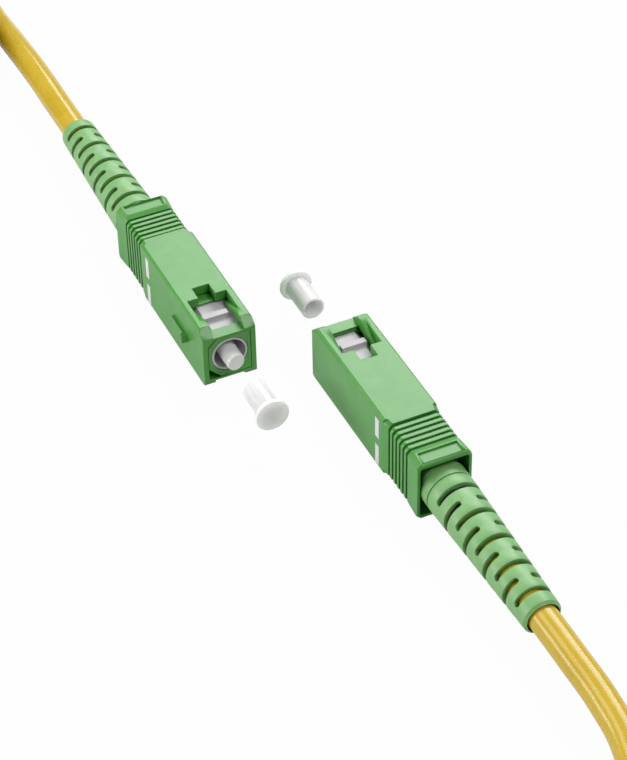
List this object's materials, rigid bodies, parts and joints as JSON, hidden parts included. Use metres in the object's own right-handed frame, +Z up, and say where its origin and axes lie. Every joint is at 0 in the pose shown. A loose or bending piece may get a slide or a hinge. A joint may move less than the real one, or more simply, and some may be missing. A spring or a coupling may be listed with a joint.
{
  "type": "fibre optic patch cord",
  "caption": "Fibre optic patch cord with push-pull plugs at both ends, angled ferrules, slotted boots and loose dust caps, on a coiled cord.",
  "frame": {"origin": "on the ground, midway between the two plugs", "axes": "+Z up; the plugs lie side by side, facing each other, at 24 degrees from Y; end a points towards -Y and its cord leaves towards +Y; end b is end a turned half a turn about Z"},
  "size_m": [0.1288, 0.1975, 0.0122],
  "materials": {
    "connector_green": "moulded plastic with a soft gloss",
    "boot_green": "soft moulded elastomer, satin",
    "core_grey": "moulded plastic, fine satin",
    "mark_white": "flat printed infill",
    "ceramic_white": "polished zirconia ceramic",
    "nickel_steel": "machined, plated",
    "spring_steel": "drawn spring wire",
    "stop_brass": "turned and plated brass",
    "tube_white": "extruded plastic tube",
    "yarn_yellow": "loose aramid strands",
    "crimp_metal": "crimped soft metal sleeve",
    "buffer_white": "extruded tight buffer",
    "fibre_glass": "drawn silica fibre",
    "cord_yellow": "glossy extruded cable jacket",
    "cap_white": "soft translucent-white moulding, satin",
    "strap_black": "woven hook-and-loop strap"
  },
  "bodies": {
    "cord_and_frames": {"plug_frame_a": "connector_green", "latch_core_a": "core_grey", "ferrule_spring_a": "spring_steel", "stop_body_a": "stop_brass", "guide_tube_a": "tube_white", "aramid_yarn_a": "yarn_yellow", "crimp_sleeve_a": "crimp_metal", "jacket_end_a": "cord_yellow", "boot_a": "boot_green", "plug_frame_b": "connector_green", "latch_core_b": "core_grey", "ferrule_spring_b": "spring_steel", "stop_body_b": "stop_brass", "guide_tube_b": "tube_white", "aramid_yarn_b": "yarn_yellow", "crimp_sleeve_b": "crimp_metal", "jacket_end_b": "cord_yellow", "boot_b": "boot_green", "cord_lead_a": "cord_yellow", "cord_coil": "cord_yellow", "cord_lead_b": "cord_yellow", "coil_strap": "strap_black"},
    "grip_a": {"grip_housing_a": "connector_green", "position_marks_a": "mark_white"},
    "ferrule_unit_a": {"ferrule_a": "ceramic_white", "ferrule_flange_a": "nickel_steel", "fibre_a": "fibre_glass", "buffer_a": "buffer_white"},
    "cap_a": {"dust_cap_a": "cap_white"},
    "grip_b": {"grip_housing_b": "connector_green", "position_marks_b": "mark_white"},
    "ferrule_unit_b": {"ferrule_b": "ceramic_white", "ferrule_flange_b": "nickel_steel", "fibre_b": "fibre_glass", "buffer_b": "buffer_white"},
    "cap_b": {"dust_cap_b": "cap_white"}
  },
  "joints": [
    {"name": "grip_slide_a", "type": "slide", "parent": "cord_and_frames", "child": "grip_a", "axis": [0.4067, -0.9135, 0], "range_m": [-0.002, 0]},
    {"name": "ferrule_float_a", "type": "slide", "parent": "cord_and_frames", "child": "ferrule_unit_a", "axis": [0.4067, -0.9135, 0], "range_m": [-0.001, 0], "stiffness_N_per_m": 2000, "deforming": ["ferrule_spring_a"]},
    {"name": "cap_slide_a", "type": "slide", "parent": "cord_and_frames", "child": "cap_a", "axis": [0.4067, -0.9135, 0], "range_m": [-0.0105, 0.02]},
    {"name": "grip_slide_b", "type": "slide", "parent": "cord_and_frames", "child": "grip_b", "axis": [-0.4067, 0.9135, 0], "range_m": [-0.002, 0]},
    {"name": "ferrule_float_b", "type": "slide", "parent": "cord_and_frames", "child": "ferrule_unit_b", "axis": [-0.4067, 0.9135, 0], "range_m": [-0.001, 0], "stiffness_N_per_m": 2000, "deforming": ["ferrule_spring_b"]},
    {"name": "cap_slide_b", "type": "slide", "parent": "cord_and_frames", "child": "cap_b", "axis": [-0.4067, 0.9135, 0], "range_m": [-0.0105, 0.02]}
  ]
}
